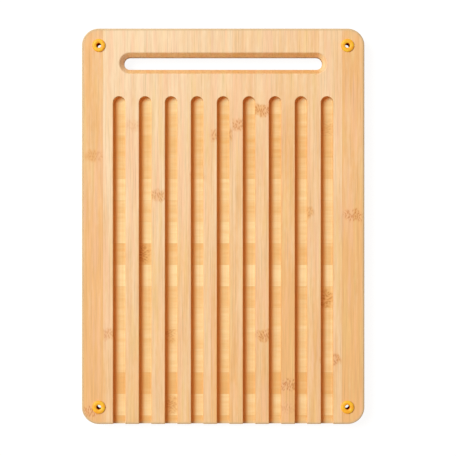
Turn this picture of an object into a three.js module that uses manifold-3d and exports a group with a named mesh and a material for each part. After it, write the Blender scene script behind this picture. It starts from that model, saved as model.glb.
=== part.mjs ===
// A bread board of laminated bamboo: three crossed plies of glued staves, with crumb grooves
// milled in the upper face, a chamfered handle slot and an eyelet foot in each corner.
// Sizes are in millimetres. +Z is up, +Y runs towards the handle slot, which is the far end here,
// and +X is to the right. The origin is on the surface that the board stands on, under its centre.

import * as THREE from "three";
import { mergeVertices } from "three/addons/utils/BufferGeometryUtils.js";
import Module from "manifold-3d";

// Board
const boardWidth = 250;
const boardLength = 350;
const facePly = 6;
const corePly = 6;
const backPly = 6;
const cornerRadius = 15;
const edgeRound = 1.2;

// Crumb grooves, with a round far end each and an open near end
const grooveCount = 9;
const grooveLand = 12; // wood left between neighbouring grooves
const grooveCoreBite = 0.6; // how far the grooves, through the face ply, reach into the core ply
const grooveFloorRound = 1.2;
const grooveRimRound = 0.5;
const grooveSideInset = 27.5; // from the board's side edges to the outermost grooves
const grooveEndInset = 60; // from the board's far edge to the grooves' round ends

// Handle slot
const slotWidth = 11;
const slotChamfer = 4;
const slotInset = 30.7; // from the board's far edge to the slot's centre line
const slotEndInset = 37; // from the board's side edges to the slot's ends

// Staves that run along the board, in the face ply and mirrored in the back ply. The outermost ones
// hold the feet. The slot ends in the second ones, and cuts through the ones between.
const cutStaveCount = 9;
const leftFootLap = 0.3; // how far the left feet's holes reach into the second stave from the left
const rightFootWall = 0.7; // wood between the right feet's holes and the second stave from the right
const slotLeftLap = 0.8; // how far the slot reaches into the second stave on the left
const slotRightLap = 3.3; // and into the second one on the right

// Staves that run across the board, in the core ply. The slot goes through a single one.
const evenCoreStaveCount = 16;
const nearCoreStave = 7.1;
const slotNearWall = 1.1; // left of that stave between its near joint and the slot
const slotFarWall = 7; // and between the slot and its far joint

// Eyelet feet
const footInset = 15; // from the board's edges to a foot's axis
const footHole = 8;
const footClearance = 0.3; // between a foot's neck and the wall of its hole
const footFlange = 11.6;
const footProud = 1.5; // how far a flange stands out of the board's face
const footBore = 4.2;
const footRimRound = 1.3;
const footLipRound = 0.6;

// How finely round shapes are divided
const circleSteps = 32;
const footCircleSteps = 24;
const roundSteps = 2;
const footRoundSteps = 3;

// How far a cut reaches past the faces that it opens
const overrun = 2;

// Finish
const bambooPale = new THREE.Color(0xf6dcb0);
const bambooWarm = new THREE.Color(0xe6bd83);
const bambooRoughness = 0.55;
const siliconeColour = new THREE.Color(0xf6bd45);
const siliconeRoughness = 0.45;
const toneShares = [0.35, 0.1, 0.2, 0.3, 0.25, 0.35, 0.5, 0.7, 0.9, 0.8, 0.55, 0.4, 0.75];

const boardThickness = backPly + corePly + facePly;
const sideEdge = boardWidth / 2;
const farEdge = boardLength / 2;
const slotY = farEdge - slotInset;
const slotEnd = sideEdge - slotEndInset;
const groovedWidth = boardWidth - 2 * grooveSideInset;
const grooveWidth = (groovedWidth - (grooveCount - 1) * grooveLand) / grooveCount;

const wasm = await Module();
wasm.setup();

// Outline at one distance from a convex run of centres, taken anticlockwise: about each centre
// goes an arc, from the normal of the edge before it to the normal of the edge after it. One
// centre gives a circle, two give a slot's outline and four give a rounded rectangle.
function outlineAround(centres, radius) {
  const count = centres.length;
  const sweep = (2 * Math.PI) / count;
  const steps = circleSteps / count;
  return centres.flatMap((centre, i) => {
    const edge = centres[(i + 1) % count].clone().sub(centre);
    const start = edge.angle() - Math.PI / 2 - sweep;
    return Array.from({ length: count === 1 ? steps : steps + 1 }, (_, k) => {
      const angle = start + (sweep * k) / steps;
      return new THREE.Vector2(Math.cos(angle), Math.sin(angle)).multiplyScalar(radius).add(centre);
    });
  });
}

// Solid that has the outline around the same centres at every height, with a radius that follows
// a profile of [radius, height] pairs from the lowest to the highest. A turning cutter that is
// moved along the centres clears just such a space.
function sweptSolid(centres, profile) {
  const rings = profile.map(([radius]) => outlineAround(centres, radius));
  const around = rings[0].length;
  const positions = rings.flatMap((ring, level) => ring.flatMap((p) => [p.x, p.y, profile[level][1]]));
  const triangles = [];
  for (let level = 0; level + 1 < rings.length; level++) {
    for (let i = 0; i < around; i++) {
      const here = level * around + i;
      const next = level * around + ((i + 1) % around);
      triangles.push(here, next, next + around, here, next + around, here + around);
    }
  }
  const top = (rings.length - 1) * around;
  for (let i = 1; i + 1 < around; i++) {
    triangles.push(0, i + 1, i, top, top + i, top + i + 1);
  }
  return solidFrom(
    new THREE.BufferGeometry()
      .setAttribute("position", new THREE.Float32BufferAttribute(positions, 3))
      .setIndex(triangles),
  );
}

// The closed solid of a geometry, for joining and cutting
function solidFrom(geometry) {
  const bare = geometry.clone();
  bare.deleteAttribute("normal");
  bare.deleteAttribute("uv");
  const merged = mergeVertices(bare);
  return new wasm.Manifold(
    new wasm.Mesh({
      numProp: 3,
      vertProperties: new Float32Array(merged.attributes.position.array),
      triVerts: new Uint32Array(merged.index.array),
    }),
  );
}

// The geometry of a solid, for a mesh
function geometryFrom(solid) {
  const { numProp, vertProperties, triVerts } = solid.getMesh();
  return new THREE.BufferGeometry()
    .setAttribute("position", new THREE.Float32BufferAttribute(vertProperties, numProp))
    .setIndex(new THREE.Uint32BufferAttribute(triVerts, 1));
}

// Solid block between two corners
function block(low, high) {
  const size = new THREE.Vector3().subVectors(high, low);
  const centre = new THREE.Vector3().addVectors(low, high).divideScalar(2);
  return solidFrom(new THREE.BoxGeometry(size.x, size.y, size.z).translate(centre.x, centre.y, centre.z));
}

// Quarter circle as [radius, height] pairs about a centre, between two angles in quarter turns
function quarterRound(centreRadius, centreHeight, round, from, to, steps = roundSteps) {
  return Array.from({ length: steps + 1 }, (_, k) => {
    const angle = ((from + ((to - from) * k) / steps) * Math.PI) / 2;
    return [centreRadius + round * Math.cos(angle), centreHeight + round * Math.sin(angle)];
  });
}

// The whole board before it is cut: rounded corners, and a round-over along both faces
function boardBlank() {
  const x = sideEdge - cornerRadius;
  const y = farEdge - cornerRadius;
  const centres = [
    new THREE.Vector2(x, y),
    new THREE.Vector2(-x, y),
    new THREE.Vector2(-x, -y),
    new THREE.Vector2(x, -y),
  ];
  const inner = cornerRadius - edgeRound;
  return sweptSolid(centres, [
    ...quarterRound(inner, edgeRound, edgeRound, -1, 0),
    ...quarterRound(inner, boardThickness - edgeRound, edgeRound, 0, 1),
  ]);
}

// Space of one crumb groove: a flat floor with rounded corners, upright walls and an eased rim
function grooveSpace(index) {
  const half = grooveWidth / 2;
  const x = (index - (grooveCount - 1) / 2) * (grooveWidth + grooveLand);
  const floor = backPly + corePly - grooveCoreBite;
  const farCentre = farEdge - grooveEndInset - half;
  const nearCentre = -farEdge - grooveWidth;
  const rim = half + grooveRimRound;
  return sweptSolid(
    [new THREE.Vector2(x, nearCentre), new THREE.Vector2(x, farCentre)],
    [
      ...quarterRound(half - grooveFloorRound, floor + grooveFloorRound, grooveFloorRound, -1, 0),
      ...quarterRound(rim, boardThickness - grooveRimRound, grooveRimRound, 2, 1),
      [rim, boardThickness + overrun],
    ],
  );
}

// Space of the handle slot, chamfered at both faces
function slotSpace() {
  const half = slotWidth / 2;
  const reach = slotEnd - half;
  const mouth = half + slotChamfer;
  return sweptSolid(
    [new THREE.Vector2(-reach, slotY), new THREE.Vector2(reach, slotY)],
    [
      [mouth + overrun, -overrun],
      [half, slotChamfer],
      [half, boardThickness - slotChamfer],
      [mouth + overrun, boardThickness + overrun],
    ],
  );
}

// The places of the four feet
function footPlaces() {
  const x = sideEdge - footInset;
  const y = farEdge - footInset;
  return [
    { name: "near_left", x: -x, y: -y },
    { name: "near_right", x, y: -y },
    { name: "far_left", x: -x, y },
    { name: "far_right", x, y },
  ];
}

// Space of one drilled hole for a foot
function footHoleSpace({ x, y }) {
  return sweptSolid(
    [new THREE.Vector2(x, y)],
    [
      [footHole / 2, -overrun],
      [footHole / 2, boardThickness + overrun],
    ],
  );
}

// One eyelet, turned about its axis: a neck in the board's hole between two flanges, each with a
// round rim, a flat land to stand on and a rounded lip into the bore
function footGeometry() {
  const bore = footBore / 2;
  const neck = footHole / 2 - footClearance;
  const flange = footFlange / 2;
  const low = -footProud;
  const high = boardThickness + footProud;
  const rim = flange - footRimRound;
  const lip = bore + footLipRound;
  const profile = [
    ...quarterRound(lip, low + footLipRound, footLipRound, 2, 3, footRoundSteps),
    ...quarterRound(rim, low + footRimRound, footRimRound, -1, 0, footRoundSteps),
    [flange, 0],
    [neck, 0],
    [neck, boardThickness],
    [flange, boardThickness],
    ...quarterRound(rim, high - footRimRound, footRimRound, 0, 1, footRoundSteps),
    ...quarterRound(lip, high - footLipRound, footLipRound, 1, 2, footRoundSteps),
  ];
  const points = [...profile, profile[0]].map(([radius, height]) => new THREE.Vector2(radius, height));
  return new THREE.LatheGeometry(points, footCircleSteps).rotateX(Math.PI / 2);
}

// Joints at even steps from one joint to another, both included
function evenJoints(from, to, count) {
  return Array.from({ length: count + 1 }, (_, i) => THREE.MathUtils.lerp(from, to, i / count));
}

// Edges and joints of the staves of the face ply, from -X to +X
function faceJoints() {
  const footReach = footInset + footHole / 2;
  const left = -sideEdge + footReach - leftFootLap;
  const right = sideEdge - footReach - rightFootWall;
  const cut = evenJoints(-slotEnd + slotLeftLap, slotEnd - slotRightLap, cutStaveCount);
  return [-sideEdge, left, ...cut, right, sideEdge];
}

// The back ply is the same panel turned over
function backJoints() {
  return faceJoints().map((x) => -x).reverse();
}

// Edges and joints of the staves of the core ply, from the near edge to the far one
function coreJoints() {
  const half = slotWidth / 2;
  const even = evenJoints(-farEdge + nearCoreStave, slotY - half - slotNearWall, evenCoreStaveCount);
  return [-farEdge, ...even, slotY + half + slotFarWall, farEdge];
}

function bamboo(share) {
  return new THREE.MeshStandardMaterial({
    color: bambooPale.clone().lerp(bambooWarm, share),
    roughness: bambooRoughness,
    metalness: 0,
  });
}

function silicone() {
  return new THREE.MeshStandardMaterial({
    color: siliconeColour,
    roughness: siliconeRoughness,
    metalness: 0,
  });
}

function namedMesh(name, geometry, material) {
  const mesh = new THREE.Mesh(geometry, material);
  mesh.name = name;
  return mesh;
}

function numbered(name, index) {
  return name + "_" + String(index + 1).padStart(2, "0");
}

const toneOf = (index) => toneShares[index % toneShares.length];

// A ply whose staves run the length of the board. The handle slot cuts through those that lie
// wholly between its ends: each stops at the slot, and their short ends beyond it are one piece.
function lengthwisePly(board, name, floor, thickness, joints) {
  const ply = new THREE.Group();
  const stave = (left, right, near, far) =>
    board.intersect(
      block(new THREE.Vector3(left, near, floor), new THREE.Vector3(right, far, floor + thickness)),
    );
  const isCut = (i) => joints[i] >= -slotEnd && joints[i + 1] <= slotEnd;
  const cutJoints = joints.filter((_, i) => isCut(i) || isCut(i - 1));
  for (let i = 0; i + 1 < joints.length; i++) {
    const solid = stave(joints[i], joints[i + 1], -farEdge, isCut(i) ? slotY : farEdge);
    ply.add(namedMesh(numbered(name + "_stave", i), geometryFrom(solid), bamboo(toneOf(i))));
  }
  const ends = stave(cutJoints.at(0), cutJoints.at(-1), slotY, farEdge);
  ply.add(namedMesh(name + "_stave_ends", geometryFrom(ends), bamboo(toneOf(0))));
  return ply;
}

// The ply whose staves run across the board
function crosswisePly(board, name, floor, thickness, joints) {
  const ply = new THREE.Group();
  for (let i = 0; i + 1 < joints.length; i++) {
    const low = new THREE.Vector3(-sideEdge, joints[i], floor);
    const high = new THREE.Vector3(sideEdge, joints[i + 1], floor + thickness);
    const solid = board.intersect(block(low, high));
    ply.add(namedMesh(numbered(name + "_stave", i), geometryFrom(solid), bamboo(toneOf(i))));
  }
  return ply;
}

function feet() {
  const group = new THREE.Group();
  for (const { name, x, y } of footPlaces()) {
    const foot = namedMesh("foot_" + name, footGeometry(), silicone());
    foot.position.set(x, y, 0);
    group.add(foot);
  }
  return group;
}

function breadBoard() {
  let board = boardBlank().subtract(slotSpace());
  for (let i = 0; i < grooveCount; i++) board = board.subtract(grooveSpace(i));
  for (const place of footPlaces()) board = board.subtract(footHoleSpace(place));

  const root = new THREE.Group();
  root.position.z = footProud;
  root.add(
    lengthwisePly(board, "back", 0, backPly, backJoints()),
    crosswisePly(board, "core", backPly, corePly, coreJoints()),
    lengthwisePly(board, "face", backPly + corePly, facePly, faceJoints()),
    feet(),
  );
  return root;
}

const part = new THREE.Group();
part.add(breadBoard());

export default part;
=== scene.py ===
"""The looks of a laminated bamboo bread board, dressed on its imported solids.

Lengths are in metres, in the frame of the solids: +Z up, out of the grooved face, +Y towards the
handle slot and +X to the right. The finishes count in millimetres. The staves and feet are computed
again with fine curves, each in the place of its own solid.
"""

import math
from collections import namedtuple

import bpy
import numpy as np
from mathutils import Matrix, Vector


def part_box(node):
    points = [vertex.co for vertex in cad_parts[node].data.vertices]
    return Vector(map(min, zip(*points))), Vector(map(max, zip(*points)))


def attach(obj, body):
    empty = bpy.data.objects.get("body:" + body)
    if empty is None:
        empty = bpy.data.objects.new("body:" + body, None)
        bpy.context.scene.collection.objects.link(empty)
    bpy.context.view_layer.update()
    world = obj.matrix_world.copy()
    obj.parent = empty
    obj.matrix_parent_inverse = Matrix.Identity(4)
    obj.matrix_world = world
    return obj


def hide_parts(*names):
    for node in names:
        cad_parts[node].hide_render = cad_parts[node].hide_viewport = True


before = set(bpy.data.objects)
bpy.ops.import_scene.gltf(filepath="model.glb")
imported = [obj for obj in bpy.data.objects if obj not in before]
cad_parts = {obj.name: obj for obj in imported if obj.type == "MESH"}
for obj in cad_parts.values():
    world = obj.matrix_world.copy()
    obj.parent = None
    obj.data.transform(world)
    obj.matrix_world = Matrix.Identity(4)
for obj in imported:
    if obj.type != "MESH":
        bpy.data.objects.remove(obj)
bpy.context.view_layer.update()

MM = 0.001

# How finely curves are divided
ARC_STEPS = 96
ROUND_STEPS = 6
FOOT_STEPS = 96
FOOT_ROUND_STEPS = 40

# How far a cutting shape reaches past the faces that it opens, and how near to the board's outside a
# face still counts as lying on it
OVERRUN = 2 * MM
TOUCH = 0.1 * MM

# Board
CORNER_RADIUS = 15 * MM
EDGE_ROUND = 1.2 * MM
PLIES = ("back", "core", "face")

# Crumb grooves
GROOVE_COUNT = 9
GROOVE_WIDTH = 11 * MM
GROOVE_LAND = 12 * MM
GROOVE_CORE_BITE = 0.6 * MM
GROOVE_FLOOR_ROUND = 1.2 * MM
GROOVE_RIM_ROUND = 0.5 * MM
GROOVE_END_INSET = 60 * MM

# Handle slot. Its chamfer's corners are eased, and the shares say how far each one is cut back.
SLOT_WIDTH = 11 * MM
SLOT_CHAMFER = 4 * MM
SLOT_RIM_EASE = 0.5 * MM
SLOT_WALL_EASE_SHARE = 0.3
SLOT_FACE_EASE_SHARE = 0.25
SLOT_INSET = 30.7 * MM
SLOT_END_INSET = 37 * MM

# Feet
FOOT_HOLE = 8 * MM
FOOT_CLEARANCE = 0.3 * MM
FOOT_BORE = 4.2 * MM
FOOT_PROUD = 1.5 * MM
FOOT_FULLNESS = 2.05  # exponent of the flange's section, where 2 is an ellipse
FOOT_TUCK = 0.6 * MM  # how far off the wood the flange is widest

# Camera: straight above, with the picture's middle a little off the board's
PICTURE_SIDE = 403.4 * MM
CAMERA_HEIGHT = 1.7
CAMERA_X = 4.3 * MM
CAMERA_Y = -1.5 * MM
SENSOR = 36


def box_of(*nodes):
    """Lowest and highest corner of some solids of the frame, as arrays."""
    corners = np.array([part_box(node) for node in nodes])
    return corners[:, 0].min(0), corners[:, 1].max(0)


def nodes_of(ply):
    """The solids of a ply's staves, in order."""
    return sorted(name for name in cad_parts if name.startswith(ply + "_stave"))


def foot_nodes():
    """The solids of the four feet."""
    return sorted(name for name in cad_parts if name.startswith("foot_"))


BOARD_LOW, BOARD_HIGH = box_of(*(node for ply in PLIES for node in nodes_of(ply)))
CORE_LOW, CORE_HIGH = box_of(*nodes_of("core"))
SLOT_Y = BOARD_HIGH[1] - SLOT_INSET
SLOT_END = BOARD_HIGH[0] - SLOT_END_INSET


# Shapes


def outlines(centres, radii):
    """Closed outlines around a convex run of centres, one for each radius.

    About each centre goes an arc of that radius, from the normal of the straight edge before the
    centre to the normal of the edge after it: one centre gives a circle, two give a slot's outline
    and four give a rounded rectangle.
    """
    centres = np.array(centres, float)
    count = len(centres)
    sweep = 2 * math.pi / count
    steps = ARC_STEPS // count
    edges = np.roll(centres, -1, axis=0) - centres
    start = np.arctan2(edges[:, 1], edges[:, 0]) - math.pi / 2 - sweep
    arc = sweep * np.arange(steps + (count > 1)) / steps
    angle = start[:, None] + arc[None, :]
    ray = np.stack([np.cos(angle), np.sin(angle)], axis=-1)
    points = centres[None, :, None] + np.array(radii)[:, None, None, None] * ray[None]
    return points.reshape(len(radii), -1, 2)


def ring_faces(levels, around, wrap=False):
    """Quads between neighbouring rings of points, taken anticlockwise as seen from outside.

    A point's number is its ring's number times the points around, plus its place in the ring.
    """
    level = np.arange(levels if wrap else levels - 1)[:, None]
    here = np.arange(around)[None, :]
    after = (here + 1) % around
    above = (level + 1) % levels
    corners = np.broadcast_arrays(
        level * around + here, level * around + after, above * around + after, above * around + here
    )
    return np.stack(corners, axis=-1).reshape(-1, 4)


def mesh_object(name, points, faces):
    """Object in the scene with these points, and faces that name their corners by number."""
    mesh = bpy.data.meshes.new(name)
    mesh.from_pydata(points.tolist(), [], [list(map(int, face)) for face in faces])
    mesh.update()
    made = bpy.data.objects.new(name, mesh)
    bpy.context.scene.collection.objects.link(made)
    return made


def swept(name, centres, profile):
    """Solid whose outline at each height lies around the same centres, at the profile's radius there.

    The profile is a list of (radius, height) from the lowest point to the highest.
    """
    radii, heights = np.array(profile).T
    rings = outlines(centres, radii)
    levels, around = rings.shape[:2]
    tall = np.broadcast_to(heights[:, None, None], (levels, around, 1))
    points = np.concatenate([rings, tall], axis=-1).reshape(-1, 3)
    lid = np.arange(around)
    faces = list(ring_faces(levels, around)) + [lid[::-1], lid + (levels - 1) * around]
    return mesh_object(name, points, faces)


def quarter_round(radius, height, round_radius, start, end):
    """Arc of (radius, height) pairs about a centre, between two angles in quarter turns.

    Each pair is the centre's plus the round's radius times the angle's cosine and sine.
    """
    angle = np.linspace(start, end, ROUND_STEPS + 1) * math.pi / 2
    return list(zip(radius + round_radius * np.cos(angle), height + round_radius * np.sin(angle)))


def carve(target, tool, operation):
    """Cuts the target with a tool, or keeps what both share, and removes the tool."""
    modifier = target.modifiers.new("carve", "BOOLEAN")
    modifier.object = tool
    modifier.operation = operation
    modifier.solver = "EXACT"
    graph = bpy.context.evaluated_depsgraph_get()
    mesh = bpy.data.meshes.new_from_object(target.evaluated_get(graph))
    target.modifiers.clear()
    mesh.materials.clear()
    target.data = mesh
    bpy.data.objects.remove(tool)


def block(name, low, high):
    """Upright block: its corners are all the ways to take each of x, y and z from low or from high."""
    x, y, z = np.meshgrid(*np.array([low, high]).T, indexing="ij")
    points = np.stack([x, y, z], axis=-1).reshape(-1, 3)
    faces = [(0, 1, 3, 2), (4, 6, 7, 5), (0, 4, 5, 1), (2, 3, 7, 6), (0, 2, 6, 4), (1, 5, 7, 3)]
    return mesh_object(name, points, faces)


def carved_board():
    """The whole board, less its grooves, slot and holes.

    Its outline is a rounded rectangle, drawn in at both faces along a quarter circle.
    """
    x, y, top = BOARD_HIGH
    bottom = BOARD_LOW[2]
    inset = CORNER_RADIUS
    corners = [(x - inset, y - inset), (inset - x, y - inset), (inset - x, inset - y), (x - inset, inset - y)]
    inner = CORNER_RADIUS - EDGE_ROUND
    profile = quarter_round(inner, bottom + EDGE_ROUND, EDGE_ROUND, -1, 0)
    profile += quarter_round(inner, top - EDGE_ROUND, EDGE_ROUND, 0, 1)
    board = swept("board", corners, profile)
    for index in range(GROOVE_COUNT):
        carve(board, groove_cutter(index), "DIFFERENCE")
    carve(board, slot_cutter(), "DIFFERENCE")
    for node in foot_nodes():
        low, high = box_of(node)
        centre = (low + high)[:2] / 2
        hole = [(FOOT_HOLE / 2, bottom - OVERRUN), (FOOT_HOLE / 2, top + OVERRUN)]
        carve(board, swept("hole", [centre], hole), "DIFFERENCE")
    return board


def groove_cutter(index):
    """Space of a groove, round at its far end and past the board's near edge.

    From the floor up, its half width follows a quarter circle at the floor's corner, the upright wall,
    and a quarter circle outwards over the eased rim.
    """
    half = GROOVE_WIDTH / 2
    x = (index - (GROOVE_COUNT - 1) / 2) * (GROOVE_WIDTH + GROOVE_LAND)
    floor_height = CORE_HIGH[2] - GROOVE_CORE_BITE
    top = BOARD_HIGH[2]
    rim = half + GROOVE_RIM_ROUND
    far = BOARD_HIGH[1] - GROOVE_END_INSET - half
    corner = GROOVE_FLOOR_ROUND
    profile = quarter_round(half - corner, floor_height + corner, corner, -1, 0)
    profile += quarter_round(rim, top - GROOVE_RIM_ROUND, GROOVE_RIM_ROUND, 2, 1)
    profile += [(rim, top + OVERRUN)]
    return swept("groove", [(x, BOARD_LOW[1] - GROOVE_WIDTH), (x, far)], profile)


def slot_cutter():
    """Space of the handle slot, chamfered at both faces.

    Above its middle the half width runs straight up the wall, out along the 45 degree chamfer and
    onto the face, with a short facet over each corner. Below, the same is turned over.
    """
    half = SLOT_WIDTH / 2
    ease = SLOT_RIM_EASE
    rim = half + SLOT_CHAMFER
    bottom, top = BOARD_LOW[2], BOARD_HIGH[2]
    chamfer_foot = top - SLOT_CHAMFER
    wall_ease = ease * SLOT_WALL_EASE_SHARE
    upper = [
        (half, chamfer_foot - ease),
        (half + wall_ease, chamfer_foot + wall_ease),
        (rim - ease, top - ease),
        (rim, top - ease * SLOT_FACE_EASE_SHARE),
        (rim + ease, top),
        (rim + ease * 2, top + OVERRUN),
    ]
    lower = [(radius, bottom + top - height) for radius, height in upper[::-1]]
    reach = SLOT_END - half
    return swept("slot", [(-reach, SLOT_Y), (reach, SLOT_Y)], lower + upper)


def cut_stave(board, node):
    """One stave: what the board shares with the box of its own solid.

    Where the box ends on the board's outside, it is first made to reach past it. Where a lengthwise
    stave ends at the slot, its box reaches to the slot's middle, so the slot's own shape ends it.
    """
    low, high = box_of(node)
    low = np.where(low < BOARD_LOW + TOUCH, low - OVERRUN, low)
    high = np.where(high > BOARD_HIGH - TOUCH, high + OVERRUN, high)
    if not node.startswith("core"):
        if low[1] > SLOT_Y:
            low[1] = SLOT_Y
        elif high[1] < SLOT_Y:
            high[1] = SLOT_Y
    stave = board.copy()
    stave.data = board.data.copy()
    stave.name = stave.data.name = node.replace("_stave", "_strip")
    bpy.context.scene.collection.objects.link(stave)
    carve(stave, block("slice", low, high), "INTERSECT")
    return stave


def foot_piece(node):
    """One eyelet, turned about its own axis.

    The section runs out under the lower flange, in to the neck, up, over the upper flange in the same
    way, and down the bore's wall. A flange's curve is a full one between the bore and the rim: the
    distances from its middle, across and up, each as a share of its reach and raised to the fullness,
    add up to 1. The middle stands off the board, so the rim tucks in again where it meets the wood.
    """
    low, high = box_of(node)
    centre = (low + high) / 2
    flange = (high - low)[0] / 2
    bore = FOOT_BORE / 2
    neck = FOOT_HOLE / 2 - FOOT_CLEARANCE
    middle, half = (flange + bore) / 2, (flange - bore) / 2
    thick = FOOT_PROUD - FOOT_TUCK
    start = -math.asin((FOOT_TUCK / thick) ** (FOOT_FULLNESS / 2))
    turn = np.linspace(start, math.pi, FOOT_ROUND_STEPS + 1)
    across = np.sign(np.cos(turn)) * np.abs(np.cos(turn)) ** (2 / FOOT_FULLNESS)
    over = np.sign(np.sin(turn)) * np.abs(np.sin(turn)) ** (2 / FOOT_FULLNESS)
    upper = np.stack([middle + half * across, BOARD_HIGH[2] + FOOT_TUCK + thick * over], axis=-1)
    lower = upper[::-1] * [1, -1] + [0, BOARD_LOW[2] + BOARD_HIGH[2]]
    section = np.concatenate([lower, [[neck, BOARD_LOW[2]], [neck, BOARD_HIGH[2]]], upper])
    radius, height = section[:, None, 0], section[:, None, 1]
    angle = 2 * math.pi * np.arange(FOOT_STEPS) / FOOT_STEPS
    x = centre[0] + radius * np.cos(angle)
    y = centre[1] + radius * np.sin(angle)
    points = np.stack(np.broadcast_arrays(x, y, height), axis=-1).reshape(-1, 3)
    faces = ring_faces(len(section), FOOT_STEPS, wrap=True)
    foot = mesh_object(node.replace("foot", "eyelet"), points, faces)
    foot.data.shade_smooth()
    # the last ring of faces is the bore's wall, which has the second finish
    in_bore = np.arange(len(faces)) >= (len(section) - 1) * FOOT_STEPS
    foot.data.polygons.foreach_set("material_index", in_bore.astype(np.int32))
    return foot


# Materials

# The middle of a noise's values
NOISE_MIDDLE = 0.5

# A Mix node's sockets for colours, which have the same names as its other ones
MIX_FACTOR, MIX_FIRST, MIX_SECOND, MIX_RESULT = 0, 6, 7, 2


class Wire:
    """An output socket in a finish. Sums, differences and products of wires add Math nodes."""

    def __init__(self, finish, socket):
        self.finish = finish
        self.socket = socket

    def math(self, operation, *others):
        return self.finish.node("Math", {"operation": operation}, dict(enumerate((self, *others))))

    def __add__(self, other):
        return self.math("ADD", other)

    def __sub__(self, other):
        return self.math("SUBTRACT", other)

    def __mul__(self, other):
        return self.math("MULTIPLY", other)

    def __rsub__(self, other):
        return self * -1 + other

    __radd__ = __add__
    __rmul__ = __mul__

    def rise(self, low, high):
        """Smooth step from 0 at the low value to 1 at the high one."""
        settings = {"interpolation_type": "SMOOTHSTEP"}
        return self.finish.node("MapRange", settings, {"Value": self, "From Min": low, "From Max": high})

    def swing(self, size):
        """How far a noise lies from its middle, times a size."""
        return (self - NOISE_MIDDLE) * size


class Finish:
    """The nodes of a material or of the sky, and the one way in which they are added."""

    def __init__(self, owner):
        owner.use_nodes = True
        self.owner = owner
        self.tree = owner.node_tree
        self.tree.nodes.clear()

    def node(self, kind, settings=None, inputs=None, output=0):
        """Adds a node, sets it up, gives its sockets values or wires, and returns one of its outputs."""
        made = self.tree.nodes.new("ShaderNode" + kind)
        for name, value in (settings or {}).items():
            if name == "stops":
                self.set_stops(made.color_ramp, value)
            else:
                setattr(made, name, value)
        for name, value in (inputs or {}).items():
            if isinstance(value, Wire):
                self.tree.links.new(value.socket, made.inputs[name])
            else:
                made.inputs[name].default_value = value
        return Wire(self, made.outputs[output]) if made.outputs else made

    @staticmethod
    def set_stops(ramp, stops):
        """Makes a ramp of steps, each from its place on at its own grey level."""
        ramp.interpolation = "CONSTANT"
        while len(ramp.elements) < len(stops):
            ramp.elements.new(1)
        for element, (place, level) in zip(ramp.elements, stops):
            element.position = place
            element.color = (level, level, level, 1)

    def mix(self, share, first, second, blend="MIX"):
        """Colour that goes from the first to the second, or to their blend, by a share."""
        settings = {"data_type": "RGBA", "blend_type": blend}
        inputs = {MIX_FACTOR: share, MIX_FIRST: first, MIX_SECOND: second}
        return self.node("Mix", settings, inputs, output=MIX_RESULT)

    def scaled(self, vector, level):
        """A vector or colour made longer or lighter by a level."""
        return self.node("VectorMath", {"operation": "SCALE"}, {0: vector, "Scale": level})

    def vector(self, x, y, z):
        return self.node("CombineXYZ", None, {0: x, 1: y, 2: z})

    def noise(self, x, y, z, detail=2.0, roughness=0.5):
        """Smooth random value about 0.5 at a place, which changes over a distance of about 1."""
        inputs = {"Vector": self.vector(x, y, z), "Scale": 1.0, "Detail": detail, "Roughness": roughness}
        return self.node("TexNoise", None, inputs)

    def from_nearest_dot(self, place, dimensions="3D"):
        """How far a place is from the nearest of dots strewn at random, about 1 apart."""
        return self.node("TexVoronoi", {"voronoi_dimensions": dimensions}, {"Vector": place, "Scale": 1.0})

    def place(self):
        """The x, y and z of the point on its piece, in millimetres."""
        at = self.node("TexCoord", output="Object")
        millimetres = self.scaled(at, 1 / MM)
        return [self.node("SeparateXYZ", None, {0: millimetres}, output=axis) for axis in range(3)]

    def facing(self, axis):
        """How much the surface faces along an axis, either way, from 0 to 1."""
        normal = self.node("NewGeometry", output="Normal")
        return self.node("SeparateXYZ", None, {0: normal}, output=axis).math("ABSOLUTE")

    def surface(self, **sockets):
        """Ends the finish in one shader, given its sockets by name with _ for a space."""
        named = {name.replace("_", " "): value for name, value in sockets.items()}
        shader = self.node("BsdfPrincipled", None, named)
        self.node("OutputMaterial", None, {"Surface": shader})
        return self.owner


def colour(red, green, blue):
    """Colour from its display values, 0 to 255, as a shader takes it: the sRGB curve undone."""
    shown = np.array([red, green, blue]) / 255
    linear = np.where(shown > 0.04045, ((shown + 0.055) / 1.055) ** 2.4, shown / 12.92)
    return (*linear.tolist(), 1.0)


# Bamboo

# Each ply's palest and warmest wood, with what the hue drifts to on either side
LENGTHWISE_WOOD = [
    colour(*shown) for shown in ((250, 217, 180), (240, 184, 125), (248, 195, 157), (242, 202, 136))
]
CROSSWISE_WOOD = [
    colour(*shown) for shown in ((243, 213, 163), (228, 177, 113), (236, 184, 124), (235, 201, 128))
]
FIBRE_BROWN = colour(206, 140, 78)
FLECK_PALE = colour(254, 206, 146)
# painted shade in the grooves, on the side the lamp's shadow falls
GROOVE_SHADE_AMBER = colour(254, 170, 88)
GLUE_BROWN = colour(176, 118, 66)
OUTLINE_SHADE_TAN = colour(214, 182, 140)

# How end grain, slopes, sawn edges, the walls inside the outline (browned by the cutter, and painted shade in
# the grooves, slot and holes), the cutter's marks on the floors and the knuckles' dashes colour the wood
END_GRAIN_TINT = (0.98, 0.825, 0.62, 1.0)
SLOPE_TINT = (0.995, 0.95, 0.86, 1.0)
SAWN_TINT = (1.0, 0.87, 0.76, 1.0)
RECESS_WALL_TINT = (0.9, 0.89, 0.75, 1.0)
MARK_TINT = (0.96, 0.93, 0.87, 1.0)
DASH_TINT = (0.72, 0.5, 0.32, 1.0)

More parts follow.
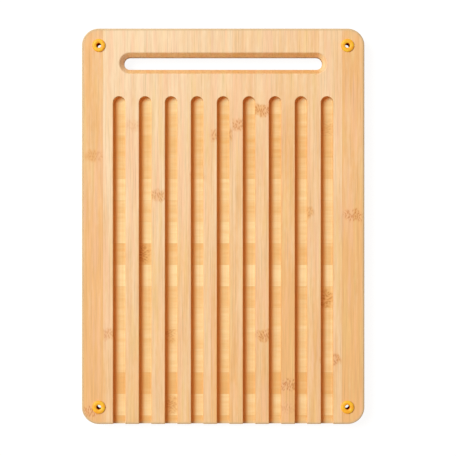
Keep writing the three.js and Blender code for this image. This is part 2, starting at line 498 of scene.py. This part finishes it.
# Tone of each stave, from 0, pale, to 1, warm, from -X to +X or from -Y to +Y
FACE_TONE_SHARES = [0.97, 0.32, 0.38, 0.38, 0.45, 0.44, 0.6, 0.6, 0.58, 0.9, 0.62, 0.52, 1.0]
BACK_TONE_SHARES = [0.6, 0.3, 0.45, 0.15, 0.7, 0.35, 0.2, 0.5, 0.25, 0.65, 0.4, 0.3, 0.55]
CORE_TONE_SHARES = [
    0.85, 0.35, 1.0, 0.4, 0.4, 0.45, 0.65, 0.0, 0.75, 0.25, 0.5, 0.25, 0.7, 0.75, 0.6, 0.4, 0.4, 0.5, 0.5
]

# How much warmer each stave is at its -Y end than at its +Y end: partly its own tone, partly painted shade
# falling off towards -Y
FACE_DRIFT_AND_SHADE_SHARES = [0.45, 0.6, 0.9, 0.6, 0.75, 0.35, 0.9, 0.45, 0.6, 0.95, 0.3, 0.35, 0.3]

# Knuckles: the stave's number, how far along the stave its eye lies and how far off the stave's
# middle, both as shares, and how strong it shows
FACE_KNUCKLE_SHARES = [
    (1, 0.678, 0.1, 0.45),
    (1, 0.03, -0.15, 0.9),
    (2, 0.227, -0.24, 0.5),
    (3, 0.756, 0.0, 0.3),
    (4, 0.578, 0.12, 0.62),
    (6, 0.625, -0.2, 0.4),
    (7, 0.73, -0.42, 0.6),
    (7, 0.73, 0.38, 0.5),
    (8, 0.757, -0.27, 0.7),
    (9, 0.794, -0.15, 1.0),
    (9, 0.225, 0.08, 1.0),
    (10, 0.099, 0.12, 1.15),
    (10, 0.04, 0.0, 0.4),
    (11, 0.536, -0.2, 0.7),
    (12, 0.162, 0.0, 1.0),
    (13, 0.528, 0.0, 1.0),
]
BACK_KNUCKLE_SHARES = [
    (1, 0.31, 0.2, 0.8),
    (3, 0.62, -0.1, 0.9),
    (5, 0.18, 0.3, 0.7),
    (6, 0.83, 0.0, 0.9),
    (8, 0.44, -0.3, 0.8),
    (10, 0.7, 0.2, 1.0),
    (12, 0.26, -0.2, 0.8),
]
CORE_KNUCKLE_SHARES = [
    (2, 0.315, 0.0, 0.6),
    (5, 0.315, 0.3, 0.5),
    (7, 0.868, -0.1, 0.8),
    (9, 0.22, 0.0, 0.8),
    (15, 0.87, -0.2, 0.4),
]

# How strongly the fibres show in a lengthwise and in a crosswise ply
LENGTHWISE_FIGURE_SHARE = 1.0
CROSSWISE_FIGURE_SHARE = 0.25

# Each stave is a slice from somewhere else in the culm: how far from its neighbour's, in millimetres
CULM_STEP_SIDE = 53.1
CULM_STEP_ALONG = 431.7

# The wood's patterns: how often each changes across and along the fibres, per millimetre, its noise's
# detail and roughness, and shifts that make it unlike the others
GRAIN_DEFAULTS = {"detail": 2.0, "roughness": 0.5, "side_shift": 0, "height_shift": 0}
Grain = namedtuple("Grain", ["across", "along", *GRAIN_DEFAULTS], defaults=GRAIN_DEFAULTS.values())
BROAD_BANDS = Grain(across=0.2, along=0.011)
HUE_BANDS = Grain(across=0.18, along=0.014, side_shift=37)
STREAKS = Grain(across=0.5, along=0.018, detail=3.0, roughness=0.65)
SILK = Grain(across=0.5, along=0.14, height_shift=11)
FINE_FIBRES = Grain(across=3.6, along=0.09)

# Bundles of fibres, brown dots in end grain that run on as hair lines: how many per millimetre, across
# and along, and how far off its middle one begins and ends to fade, in spacings
BUNDLES_ACROSS = 1.1
BUNDLES_ALONG = 0.015
BUNDLE_EDGE = (0.12, 0.42)

# How much each pattern warms the wood, and how much each darkens it
BROAD_WARMTH_SHARE = 1.2
STREAK_WARMTH_SHARE = 0.25
SILK_WARMTH_SHARE = 0.45
KNUCKLE_WARMTH_SHARE = 0.7
STREAK_SHADE_SHARE = 0.24
FINE_SHADE_SHARE = 0.22
BUNDLE_SHADE_SHARE = 0.13

# Where the hue's noise turns the wood pink and where straw, and by how much at most
PINK_EDGE = (0.49, 0.68)
PINK_SHARE = 0.5
STRAW_EDGE = (0.32, 0.46)
STRAW_SHARE = 0.35
KNUCKLE_PINK_SHARE = 0.1

# How far bundles brown a flat face and end grain
BUNDLE_FACE_SHARE = 0.03
BUNDLE_END_SHARE = 0.3

# How far from its eye a knuckle reaches, in millimetres, and how far its fibres swerve
KNUCKLE_LENGTH = 7.0
KNUCKLE_WIDTH = 12.0
KNUCKLE_SWERVE_SHARE = 0.9

# A knuckle lies along a wavy line across its stave: the waves per millimetre, their step from stave to
# stave and their height in millimetres
WAVE_ACROSS = 0.3
WAVE_STEP = 5.7
WAVE_HEIGHT = 7

# A knuckle's dashes fan out from its eye: how much for each millimetre off it, how many stand per
# millimetre across and along, their step from stave to stave, from which to which distance off its
# middle a dash fades and a pale fleck comes up, both in spacings, and how much knuckle dashes need
FAN_SHARE = 0.12
DASHES_ACROSS = 0.85
DASHES_ALONG = 0.3
DASH_STEP = 7.3
DASH_EDGE = (0.08, 0.55)
DASH_FADE = (0.02, 0.8)
FLECK_EDGE = (0.5, 0.8)

# How far dashes and a knuckle's soft ground colour the wood, how much of that an upright wall loses,
# and how far the flecks show
DASH_SHARE = 0.8
KNUCKLE_GROUND_SHARE = 0.15
KNUCKLE_WALL_LOSS_SHARE = 0.8
FLECK_SHARE = 0.3

# Marks that the cutter left on the core's floors: how often they change along the strip and across it,
# per millimetre, at which height of the noise, and where they begin and end
MARKS_ALONG = 0.7
MARKS_ACROSS = 0.006
MARKS_HEIGHT = 5
MARK_DETAIL = 3.0
MARK_ROUGHNESS = 0.6
MARK_EDGE = (0.42, 0.62)

# Painted shade on a groove's floor along its -X wall, where the lamp's shadow falls: its reach in millimetres
# off that wall, how far it follows the round end, and how strong it is
GROOVE_SHADE_REACH = (1.5, 6)
GROOVE_SHADE_END_SHARE = 0.8
GROOVE_SHADE_SHARE = 0.8

# From which to which facing along the grain, or upwards, a face turns into another kind
END_GRAIN_FACING = (0.55, 0.74)
WALL_FACING = (0.2, 0.5)
SLOPE_FACING = (0.75, 0.95)

# How far inside the outline, in millimetres, walls are the cutter's, slopes are chamfers and not
# rounded edges, and the painted shade along the rounded edge ends
CUTTER_INSET = (1.5, 3)
SLOPE_INSET = (2, 4)
OUTLINE_SHADE_INSET = (0.6, 2.8)
OUTLINE_SHADE_SHARE = 0.8

# Glue between staves and between plies: its fade off the joint, in millimetres, and its strength
JOINT_FADE = (0.07, 0.308)
JOINT_SHARE = 0.14
GLUE_PLANE_FADE = (0.07, 0.224)
GLUE_PLANE_SHARE = 0.5

# Relief of the surface, and how rough and shiny it is
STREAK_RELIEF_SHARE = 0.4
FINE_RELIEF_SHARE = 0.6
BUNDLE_RELIEF_SHARE = 0.35
WOOD_RELIEF = 0.1 * MM
WOOD_RELIEF_STRENGTH = 0.25
WOOD_ROUGHNESS = 0.5
STREAK_ROUGHNESS_SHARE = 0.15
END_ROUGHNESS_SHARE = 0.15
DASH_ROUGHNESS_SHARE = 0.1
WOOD_SHINE = 0.12

# More than any distance on the board, in millimetres
FAR = 1000


def bamboo(name, ply, wood_colours, figure, tone_shares, drift_and_shade_shares, knuckle_shares):
    """Laminated bamboo: a ply of staves, each a slice of fibres with its own tone, streaks and knuckles.

    The figure says how strongly the fibres show on a flat face.
    """
    finish = Finish(bpy.data.materials.new(name))
    grain, across = (0, 1) if ply == "core" else (1, 0)
    place = finish.place()
    along, side, height = place[grain], place[across], place[2]
    low, high = (corner / MM for corner in box_of(*nodes_of(ply)))
    edges = stave_edges(ply, across)
    stave, from_joint = among_joints(side, edges[1:-1])

    wave = finish.noise(side * WAVE_ACROSS, stave * WAVE_STEP, 0, detail=1.0).swing(WAVE_HEIGHT)
    spots = knuckle_spots(edges, low[grain], high[grain], knuckle_shares)
    knuckle, off_side, off_along = knuckles(side, along + wave, spots)
    dashes, flecks = knuckle_dashes(finish, stave, knuckle, off_side, off_along)

    run = along + stave * CULM_STEP_ALONG + knuckle * off_side * KNUCKLE_SWERVE_SHARE
    fibres = (side + stave * CULM_STEP_SIDE, run, height)
    broad = fibre_noise(finish, fibres, BROAD_BANDS)
    streak = fibre_noise(finish, fibres, STREAKS)
    hue = fibre_noise(finish, fibres, HUE_BANDS) + knuckle * KNUCKLE_PINK_SHARE
    fine = fibre_noise(finish, fibres, FINE_FIBRES)
    silk = fibre_noise(finish, fibres, SILK)
    bundle = fibre_bundles(finish, fibres)

    tone = by_stave(finish, stave, tone_shares)
    # warmer and darker towards -Y: partly the staves' tone, partly painted shade
    if drift_and_shade_shares:
        tone = tone + by_stave(finish, stave, drift_and_shade_shares) * along * (-1 / (high[grain] - low[grain]))
    warmth = tone + broad.swing(BROAD_WARMTH_SHARE) + streak.swing(STREAK_WARMTH_SHARE * figure)
    warmth = warmth + silk.swing(SILK_WARMTH_SHARE) + knuckle * KNUCKLE_WARMTH_SHARE
    light = streak.swing(-STREAK_SHADE_SHARE * figure) + 1 + fine.swing(-FINE_SHADE_SHARE * figure)
    light = light - bundle * (BUNDLE_SHADE_SHARE * figure)

    # kinds of face, told by the way they turn and how far inside the outline they lie
    cut = finish.facing(grain).rise(*END_GRAIN_FACING)
    upright = 1 - finish.facing(2).rise(*WALL_FACING)
    from_outline = outline_distance(place[0], place[1])
    inside = from_outline.rise(*CUTTER_INSET)
    # upright walls inside the outline get a darker, warmer tint: partly the cutter's browning, partly painted
    # shade in the recesses
    recess_wall = upright * inside
    sawn = upright * (1 - inside) * (1 - cut)
    sloped = (1 - finish.facing(2).rise(*SLOPE_FACING)) * (1 - upright) * from_outline.rise(*SLOPE_INSET)
    # painted shade: a darker tan along the board's rounded edge
    rim = (1 - from_outline.rise(*OUTLINE_SHADE_INSET)) * (1 - upright)

    pale, warm, pink, straw = wood_colours
    wood = finish.mix(warmth.math("MAXIMUM", 0).math("MINIMUM", 1), pale, warm)
    wood = finish.mix(hue.rise(*PINK_EDGE) * (PINK_SHARE * figure), wood, pink)
    wood = finish.mix((1 - hue.rise(*STRAW_EDGE)) * (STRAW_SHARE * figure), wood, straw)
    wood = finish.mix(bundle * (cut * BUNDLE_END_SHARE + BUNDLE_FACE_SHARE * figure), wood, FIBRE_BROWN)
    wood = finish.scaled(wood, light)
    if ply == "core":
        wood = finish.mix(cutter_marks(finish, along, side), wood, MARK_TINT, blend="MULTIPLY")
        # painted shade: amber on the groove floors along their -X walls and round their far ends
        wood = finish.mix(painted_groove_shade(along, side) * (1 - upright) * GROOVE_SHADE_SHARE, wood, GROOVE_SHADE_AMBER)
    wood = finish.mix(flecks * FLECK_SHARE, wood, FLECK_PALE)
    shown = (dashes * DASH_SHARE + knuckle * KNUCKLE_GROUND_SHARE) * (1 - upright * KNUCKLE_WALL_LOSS_SHARE)
    end_tint = SAWN_TINT if ply == "core" else END_GRAIN_TINT
    tinted = [(shown, DASH_TINT), (cut, end_tint), (sloped, SLOPE_TINT)]
    tinted += [(recess_wall, RECESS_WALL_TINT), (sawn, SAWN_TINT)]
    for share, tint in tinted:
        wood = finish.mix(share, wood, tint, blend="MULTIPLY")
    wood = finish.mix((1 - from_joint.rise(*JOINT_FADE)) * JOINT_SHARE, wood, GLUE_BROWN)
    glue_plane = 1 - glue_distance(height).rise(*GLUE_PLANE_FADE)
    wood = finish.mix(glue_plane * upright * GLUE_PLANE_SHARE, wood, GLUE_BROWN)
    # painted shade along the rounded edge
    wood = finish.mix(rim * OUTLINE_SHADE_SHARE, wood, OUTLINE_SHADE_TAN)

    relief = streak * STREAK_RELIEF_SHARE + fine * FINE_RELIEF_SHARE - bundle * BUNDLE_RELIEF_SHARE
    sizes = {"Strength": WOOD_RELIEF_STRENGTH, "Distance": WOOD_RELIEF}
    bump = finish.node("Bump", None, {**sizes, "Height": relief})
    roughness = streak.swing(STREAK_ROUGHNESS_SHARE) + WOOD_ROUGHNESS
    roughness = roughness + cut * END_ROUGHNESS_SHARE + dashes * DASH_ROUGHNESS_SHARE
    return finish.surface(Base_Color=wood, Roughness=roughness, Normal=bump, Specular_IOR_Level=WOOD_SHINE)


def fibre_noise(finish, fibres, grain):
    """One of the wood's patterns, at a place given across and along the fibres and in height."""
    side, run, height = fibres
    return finish.noise(
        side * grain.across + grain.side_shift,
        run * grain.along,
        height * grain.across + grain.height_shift,
        detail=grain.detail,
        roughness=grain.roughness,
    )


def fibre_bundles(finish, fibres):
    """Where a bundle of fibres lies, from 0 to 1: near dots drawn out along the fibres."""
    side, run, height = fibres
    place = finish.vector(side * BUNDLES_ACROSS, run * BUNDLES_ALONG, height * BUNDLES_ACROSS)
    return 1 - finish.from_nearest_dot(place).rise(*BUNDLE_EDGE)


def stave_edges(ply, across):
    """Where the staves of a ply begin and end across their grain, in millimetres, from the lowest edge."""
    staves = [box_of(node) for node in nodes_of(ply) if node[-1].isdigit()]
    last_high = staves[-1][1]
    return [low[across] / MM for low, _ in staves] + [last_high[across] / MM]


def among_joints(side, joints):
    """Which stave a point lies in, counted from 0, and how far it is from the nearest joint."""
    stave, nearest = 0, FAR
    for joint in joints:
        off = side - joint
        stave = off.math("GREATER_THAN", 0) + stave
        nearest = off.math("ABSOLUTE").math("MINIMUM", nearest)
    return stave, nearest


def glue_distance(height):
    """How far a point is from the nearer of the two planes between the plies, in millimetres."""
    below, above = ((height - plane / MM).math("ABSOLUTE") for plane in (CORE_LOW[2], CORE_HIGH[2]))
    return below.math("MINIMUM", above)


def by_stave(finish, stave, shares):
    """Looks up a table with one share for each stave, from the first at 0.

    A stave's step begins a quarter of the way into its part of the ramp, and it is looked up halfway
    along the step, so rounding can't give a neighbour's share.
    """
    count = len(shares)
    step_start, looked_up = 0.25, 0.75
    stops = [((index + step_start) / count, share) for index, share in enumerate(shares)]
    stops[0] = (0, shares[0])
    return finish.node("ValToRGB", {"stops": stops}, {"Fac": (stave + looked_up) * (1 / count)})


def outline_distance(x, y):
    """How far in from the board's rounded outline a point lies, in millimetres."""
    inset = CORNER_RADIUS / MM
    past_x = (x.math("ABSOLUTE") - (BOARD_HIGH[0] / MM - inset)).math("MAXIMUM", 0)
    past_y = (y.math("ABSOLUTE") - (BOARD_HIGH[1] / MM - inset)).math("MAXIMUM", 0)
    return inset - (past_x * past_x + past_y * past_y).math("SQRT")


def cutter_marks(finish, x, y):
    """Fine marks across the groove floors, from 0 to 1."""
    marks = finish.noise(
        x * MARKS_ALONG, y * MARKS_ACROSS, MARKS_HEIGHT, detail=MARK_DETAIL, roughness=MARK_ROUGHNESS
    )
    return marks.rise(*MARK_EDGE)


def painted_groove_shade(x, y):
    """Painted shade on a groove's floor, from 0 to 1: along its -X wall and round its far end."""
    pitch = (GROOVE_WIDTH + GROOVE_LAND) / MM
    half = GROOVE_WIDTH / 2 / MM
    off = x.math("WRAP", pitch / 2, -pitch / 2)
    past = (y - (BOARD_HIGH[1] - GROOVE_END_INSET) / MM + half).math("MAXIMUM", 0)
    return 1 - (off - past * GROOVE_SHADE_END_SHARE + half).rise(*GROOVE_SHADE_REACH)


def knuckle_spots(edges, start, end, shares):
    """Each knuckle's stave, as its centre line and width, its eye across and along, and its strength."""
    spots = []
    for stave, share, eye_share, strength in shares:
        left, right = edges[stave - 1], edges[stave]
        centre, width = (left + right) / 2, right - left
        spots.append((centre, width, centre + eye_share * width, start + share * (end - start), strength))
    return spots


def knuckles(side, along, spots):
    """Where the culm's knuckles are, from 0 to 1, and how far a point in one is from its eye, in mm.

    The second and third values count across and along the stave.
    """
    shown, side_from_eye, along_from_eye = 0, 0, 0
    for centre, width, eye_side, eye_along, strength in spots:
        inside = (side - centre).math("ABSOLUTE").math("LESS_THAN", width / 2)
        off_side, off_along = side - eye_side, along - eye_along
        spread = off_side * off_side * (KNUCKLE_WIDTH**-2) + off_along * off_along * (KNUCKLE_LENGTH**-2)
        far = spread.rise(0, 1)
        here = inside * far.math("LESS_THAN", 1)
        shown = here * (1 - far) * strength + shown
        side_from_eye = here * off_side + side_from_eye
        along_from_eye = here * off_along + along_from_eye
    return shown, side_from_eye, along_from_eye


def knuckle_dashes(finish, stave, knuckle, off_side, off_along):
    """Dark dashes in the knuckles and pale flecks between them, both from 0 to 1."""
    fan = off_side.math("DIVIDE", off_along.math("ABSOLUTE") * FAN_SHARE + 1)
    place = finish.vector(fan * DASHES_ACROSS + stave * DASH_STEP, off_along * DASHES_ALONG, 0)
    from_dash = finish.from_nearest_dot(place, "2D")
    dashes = (1 - from_dash.rise(*DASH_EDGE)) * knuckle.rise(*DASH_FADE)
    return dashes, from_dash.rise(*FLECK_EDGE) * knuckle


# Silicone

SILICONE_YELLOW = colour(248, 190, 44)
SILICONE_AMBER = colour(250, 168, 38)
SILICONE_FLANGE_SHADE = colour(150, 88, 20)
# The bore's colours, deepened to a painted shade
BORE_SHADE_RED = colour(236, 96, 20)
BORE_SHADE_AMBER = colour(196, 84, 22)

# The moulded mottle and the grit, both in changes per millimetre, and how fine the mottle is
MOTTLE = 0.35
MOTTLE_DETAIL = 3.0
MOTTLE_EDGE = (0.38, 0.62)
GRIT = 9
GRIT_RELIEF = 0.05 * MM
GRIT_STRENGTH = 0.1

# Painted shade on the flange's steep edge, where it turns down to the wood: up to which facing upwards, and
# how strong
FLANGE_SHADE_FACING = (0.05, 0.55)
FLANGE_SHADE_SHARE = 0.6

SILICONE_ROUGHNESS = 0.48
MOTTLE_ROUGHNESS_SHARE = 0.2
SILICONE_SHINE = 0.3

# The bore's mottle, across it and along it, and its dull surface
BORE_MOTTLE_ACROSS = 0.8
BORE_MOTTLE_ALONG = 0.4
BORE_MOTTLE_EDGE = (0.4, 0.7)
BORE_ROUGHNESS = 0.9


def silicone():
    """Yellow-orange silicone rubber with a faint moulded mottle, and painted shade where it turns down to the
    wood.
    """
    finish = Finish(bpy.data.materials.new("silicone"))
    x, y, z = finish.place()
    mottle = finish.noise(x * MOTTLE, y * MOTTLE, z * MOTTLE, detail=MOTTLE_DETAIL)
    grit = finish.noise(x * GRIT, y * GRIT, z * GRIT, detail=1.0)
    skin = finish.mix(mottle.rise(*MOTTLE_EDGE), SILICONE_YELLOW, SILICONE_AMBER)
    # painted shade on the flange's steep sides
    skin = finish.mix((1 - finish.facing(2).rise(*FLANGE_SHADE_FACING)) * FLANGE_SHADE_SHARE, skin, SILICONE_FLANGE_SHADE)
    bump = finish.node("Bump", None, {"Strength": GRIT_STRENGTH, "Distance": GRIT_RELIEF, "Height": grit})
    rough = mottle.swing(MOTTLE_ROUGHNESS_SHARE) + SILICONE_ROUGHNESS
    return finish.surface(Base_Color=skin, Roughness=rough, Normal=bump, Specular_IOR_Level=SILICONE_SHINE)


def shaded_bore_silicone():
    """The same rubber inside the bore, without sheen, its colour deepened to a painted shade."""
    finish = Finish(bpy.data.materials.new("silicone_bore_shaded"))
    x, y, z = finish.place()
    across = BORE_MOTTLE_ACROSS
    mottle = finish.noise(x * across, y * across, z * BORE_MOTTLE_ALONG, detail=MOTTLE_DETAIL)
    skin = finish.mix(mottle.rise(*BORE_MOTTLE_EDGE), BORE_SHADE_RED, BORE_SHADE_AMBER)
    return finish.surface(Base_Color=skin, Roughness=BORE_ROUGHNESS, Specular_IOR_Level=0.0)


# Stage

WHITE = (1.0, 1.0, 1.0, 1.0)
FLOOR_WHITE = (0.9, 0.9, 0.9, 1.0)
FLOOR_SIDE = 8.0

# What the camera sees of the floor is mostly its own glow, and faintly the light and shadow on it
FLOOR_GLOW = 0.93
FLOOR_FAINT = (0.12, 0.12, 0.12, 1.0)

# Lamp in metres and watts, high up beyond the board's far left corner
KEY_PLACE = (-3.9, 2.2, 6.6)
KEY_SIDE = 4.3
KEY_POWER = 698
KEY_COLOUR = (0.83, 0.95, 0.98)

SKY_COLOUR = (1.08, 0.74, 0.46, 1.0)
SKY_STRENGTH = 0.28


def white_to_the_eye(finish):
    """1 for rays from the camera, straight, mirrored or through glass, and 0 for light that spreads."""
    names = ("Is Camera Ray", "Is Glossy Ray", "Is Transmission Ray")
    straight, mirrored, through = (finish.node("LightPath", output=name) for name in names)
    return straight.math("MAXIMUM", mirrored).math("MAXIMUM", through)


def floor():
    """Plain white floor that keeps a faint shadow: one square about the origin."""
    half = FLOOR_SIDE / 2
    points = np.array([(-half, -half, 0), (half, -half, 0), (half, half, 0), (-half, half, 0)], float)
    made = mesh_object("floor", points, [(0, 1, 2, 3)])
    finish = Finish(bpy.data.materials.new("floor"))
    matt = finish.node("BsdfDiffuse", None, {"Color": FLOOR_WHITE})
    faint = finish.node("BsdfDiffuse", None, {"Color": FLOOR_FAINT})
    glow = finish.node("Emission", None, {"Color": WHITE, "Strength": FLOOR_GLOW})
    seen = finish.node("AddShader", None, {0: faint, 1: glow})
    shader = finish.node("MixShader", None, {0: white_to_the_eye(finish), 1: matt, 2: seen})
    finish.node("OutputMaterial", None, {"Surface": shader})
    made.data.materials.append(finish.owner)


def sky():
    """Soft light from all round, which the camera sees as white."""
    world = bpy.data.worlds.new("sky")
    bpy.context.scene.world = world
    finish = Finish(world)
    around = finish.node("Background", None, {"Color": SKY_COLOUR, "Strength": SKY_STRENGTH})
    white = finish.node("Background", None, {"Color": WHITE, "Strength": 1.0})
    shader = finish.node("MixShader", None, {0: white_to_the_eye(finish), 1: around, 2: white})
    finish.node("OutputWorld", None, {"Surface": shader})


def key_light():
    """Large square lamp, turned towards the middle of the board."""
    lamp = bpy.data.lights.new("key", "AREA")
    lamp.shape = "SQUARE"
    lamp.size = KEY_SIDE
    lamp.energy = KEY_POWER
    lamp.color = KEY_COLOUR
    made = bpy.data.objects.new("key", lamp)
    made.location = KEY_PLACE
    made.rotation_euler = (-Vector(KEY_PLACE)).to_track_quat("-Z", "Y").to_euler()
    bpy.context.scene.collection.objects.link(made)


def camera():
    """Camera straight above, upright to the board, whose picture takes in the named side."""
    lens = bpy.data.cameras.new("camera")
    lens.sensor_width = SENSOR
    lens.lens = SENSOR * CAMERA_HEIGHT / PICTURE_SIDE
    made = bpy.data.objects.new("camera", lens)
    made.location = (CAMERA_X, CAMERA_Y, BOARD_HIGH[2] + CAMERA_HEIGHT)
    bpy.context.scene.collection.objects.link(made)
    bpy.context.scene.camera = made


# Assembly


def dress(piece, node, materials):
    """Gives a piece its finishes and its body, and puts it in its node's place."""
    for material in materials:
        piece.data.materials.append(material)
    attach(piece, "root")
    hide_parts(node)


def ply_finish(ply, tone_shares, drift_and_shade_shares, knuckle_shares):
    """A ply's bamboo, with the colours and the figure of its grain's direction."""
    if ply == "core":
        wood_colours, figure = CROSSWISE_WOOD, CROSSWISE_FIGURE_SHARE
    else:
        wood_colours, figure = LENGTHWISE_WOOD, LENGTHWISE_FIGURE_SHARE
    return bamboo("bamboo_" + ply, ply, wood_colours, figure, tone_shares, drift_and_shade_shares, knuckle_shares)


def main():
    finishes = {
        "back": ply_finish("back", BACK_TONE_SHARES, None, BACK_KNUCKLE_SHARES),
        "core": ply_finish("core", CORE_TONE_SHARES, None, CORE_KNUCKLE_SHARES),
        "face": ply_finish("face", FACE_TONE_SHARES, FACE_DRIFT_AND_SHADE_SHARES, FACE_KNUCKLE_SHARES),
    }
    board = carved_board()
    for ply in PLIES:
        for node in nodes_of(ply):
            dress(cut_stave(board, node), node, [finishes[ply]])
    bpy.data.objects.remove(board)
    rubbers = [silicone(), shaded_bore_silicone()]
    for node in foot_nodes():
        dress(foot_piece(node), node, rubbers)
    floor()
    sky()
    key_light()
    camera()
    bpy.context.scene.view_settings.view_transform = "Standard"


main()
